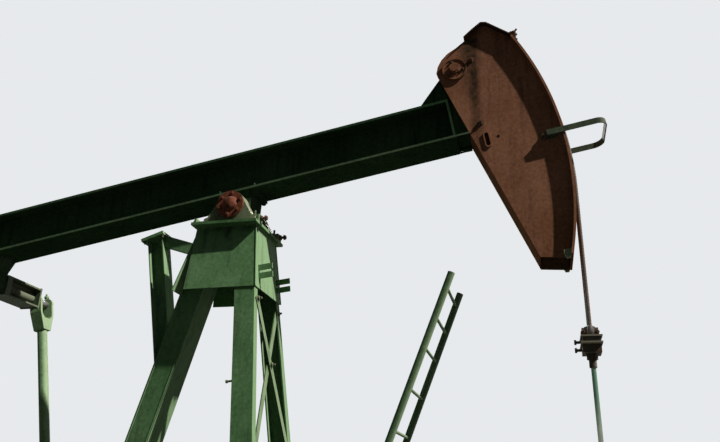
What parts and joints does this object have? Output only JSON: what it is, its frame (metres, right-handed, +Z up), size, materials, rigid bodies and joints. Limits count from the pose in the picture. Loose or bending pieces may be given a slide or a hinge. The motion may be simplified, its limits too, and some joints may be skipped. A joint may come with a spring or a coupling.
{
  "type": "conventional beam pumping unit",
  "caption": "Walking beam on a braced post with a curved head, wire rope hanger and polished rod, driven by cranks, counterweights and a gear reducer.",
  "frame": {"origin": "ground level, straight below the saddle bearing", "axes": "+X along the beam toward the well, +Y to the far side, +Z up; the middle plane is y = 0"},
  "size_m": [7.9867, 1.898, 5.7994],
  "materials": {
    "green_paint": "satin dark green",
    "pale_green_paint": "satin pale green",
    "rusty_paint": "matte, rusted through old red paint",
    "red_paint": "satin red oxide",
    "guard_paint": "satin dark green",
    "motor_paint": "satin grey",
    "wire_rope": "greased, rusty strands",
    "rusty_steel": "rusted",
    "bare_steel": "machined",
    "polished_steel": "polished"
  },
  "bodies": {
    "root": {"skid_rail_near": "green_paint", "skid_rail_far": "green_paint", "skid_crossbeams": "green_paint", "front_leg_near": "green_paint", "front_leg_far": "green_paint", "leg_bracing": "green_paint", "cap_box": "green_paint", "top_plate": "green_paint", "rear_leg": "green_paint", "rear_post": "green_paint", "beam_rest": "green_paint", "bearing_near": "pale_green_paint", "bearing_far": "pale_green_paint", "bearing_covers": "red_paint", "ladder": "green_paint", "ladder_stays": "green_paint", "reducer_stand": "green_paint", "gear_reducer": "green_paint", "input_shaft": "bare_steel", "brake_drum": "green_paint", "motor_base": "green_paint", "motor": "motor_paint", "belt_guard": "guard_paint"},
    "beam": {"walking_beam": "green_paint", "saddle_block": "green_paint", "cross_shaft": "bare_steel", "head_hanger": "green_paint", "tail_bearing": "green_paint", "head_side_near": "rusty_paint", "head_side_far": "rusty_paint", "head_front": "rusty_paint", "head_back": "rusty_paint", "head_ends": "rusty_paint", "head_pin": "rusty_steel", "rope_guard": "rusty_paint", "rope_anchor": "rusty_paint", "head_rope": "wire_rope"},
    "pitmans": {"equalizer": "green_paint", "equalizer_shaft": "bare_steel", "pitman_near": "green_paint", "pitman_far": "green_paint", "pitman_pins": "bare_steel"},
    "cranks": {"slow_shaft": "bare_steel", "crank_near": "green_paint", "crank_far": "green_paint", "weights_near": "green_paint", "weights_far": "green_paint"},
    "rod": {"hanging_rope": "wire_rope", "carrier_bar": "rusty_steel", "rod_clamp": "bare_steel", "polished_rod": "polished_steel"}
  },
  "joints": [
    {"name": "beam_rock", "type": "hinge", "parent": "root", "child": "beam", "pos_m": [0, 0, 4.1], "axis": [0, -1, 0], "range_deg": [-30, 0]},
    {"name": "tail_swing", "type": "hinge", "parent": "beam", "child": "pitmans", "pos_m": [-2.65377, 0, 3.60161], "axis": [0, -1, 0], "range_deg": [0, 22.61]},
    {"name": "crank_turn", "type": "hinge", "parent": "root", "child": "cranks", "pos_m": [-2.15471, 0, 1.6], "axis": [0, -1, 0], "range_deg": [0, 172.61]},
    {"name": "rod_stroke", "type": "slide", "parent": "root", "child": "rod", "axis": [0, 0, 1], "range_m": [-1.5671, 0], "deforming": ["hanging_rope"]}
  ],
  "couplings": [
    {"joint": "tail_swing", "follows": "beam_rock", "ratio": -0.75326},
    {"joint": "crank_turn", "follows": "beam_rock", "ratio": -5.7533},
    {"joint": "rod_stroke", "follows": "beam_rock", "m_per_rad": 2.991}
  ]
}
